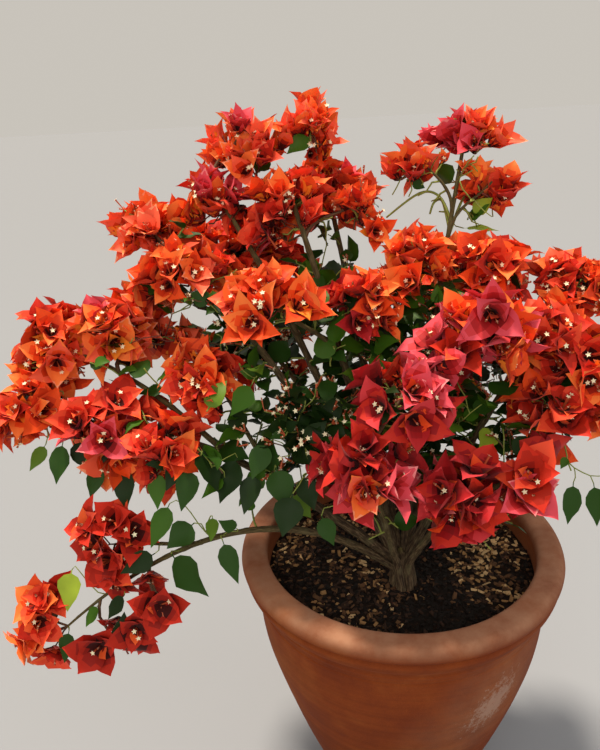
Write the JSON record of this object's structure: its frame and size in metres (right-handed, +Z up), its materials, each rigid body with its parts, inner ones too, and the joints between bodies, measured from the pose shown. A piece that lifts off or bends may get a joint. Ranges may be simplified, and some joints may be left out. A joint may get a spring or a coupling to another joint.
{
  "type": "potted bougainvillea bush",
  "caption": "Bougainvillea bush in orange and crimson bloom, with an open, spreading crown and one low limb, standing in a round terracotta pot with a rolled rim.",
  "frame": {"origin": "centre of the pot's flat underside, where it stands on the ground", "axes": "+Z up, -Y towards the front, where the crimson bloom hangs over the rim, +X to the right seen from the front"},
  "size_m": [0.7136, 0.4454, 0.8661],
  "materials": {
    "terracotta": "unglazed, matte, with faint turning lines and a pale salt bloom",
    "potting_mix": "dark, rough, strewn with pale bark chips",
    "bark": "grey-brown, finely ridged",
    "leaf": "green, satin",
    "orange_bracts": "papery, matte",
    "crimson_bracts": "papery, matte"
  },
  "bodies": {
    "root": {"bough_back": "bark", "bough_back_left": "bark", "bough_back_right": "bark", "bough_centre": "bark", "bough_centre_front": "bark", "bough_front": "bark", "bough_front_right": "bark", "bough_left": "bark", "bough_left_middle": "bark", "bough_left_outer": "bark", "bough_low_left": "bark", "bough_low_left_side": "bark", "bough_right": "bark", "bough_spray_left": "bark", "bough_spray_right": "bark", "bough_top_left": "bark", "bough_upper_left": "bark", "bough_upright": "bark", "mass_back_high": "orange_bracts", "mass_back_left": "orange_bracts", "mass_back_low_left": "orange_bracts", "mass_back_low_right": "orange_bracts", "mass_back_right": "orange_bracts", "mass_front_centre": "orange_bracts", "mass_front_left_low": "crimson_bracts", "mass_front_middle_low": "crimson_bracts", "mass_front_right_low": "crimson_bracts", "mass_front_top": "crimson_bracts", "mass_heart_left": "leaf", "mass_left_high": "orange_bracts", "mass_left_low": "orange_bracts", "mass_left_low_inner": "orange_bracts", "mass_left_middle": "orange_bracts", "mass_left_outer": "orange_bracts", "mass_left_tip": "orange_bracts", "mass_low_left_end": "orange_bracts", "mass_low_left_inner": "orange_bracts", "mass_low_left_near": "orange_bracts", "mass_low_left_tip": "orange_bracts", "mass_middle_crimson": "crimson_bracts", "mass_right_back_tip": "orange_bracts", "mass_right_crimson": "crimson_bracts", "mass_right_low": "crimson_bracts", "mass_right_outer": "orange_bracts", "mass_right_outer_high": "orange_bracts", "mass_right_upper": "orange_bracts", "mass_right_upper_inner": "orange_bracts", "mass_spray_left": "crimson_bracts", "mass_spray_right": "orange_bracts", "mass_spray_top": "crimson_bracts", "mass_top_centre": "orange_bracts", "mass_top_left": "orange_bracts", "mass_top_left_low": "orange_bracts", "mass_top_middle": "orange_bracts", "mass_top_right": "orange_bracts", "mass_upper_left": "orange_bracts", "mass_upper_left_tip": "orange_bracts", "pot": "terracotta", "potting_mix": "potting_mix", "trunk": "bark"}
  },
  "joints": []
}
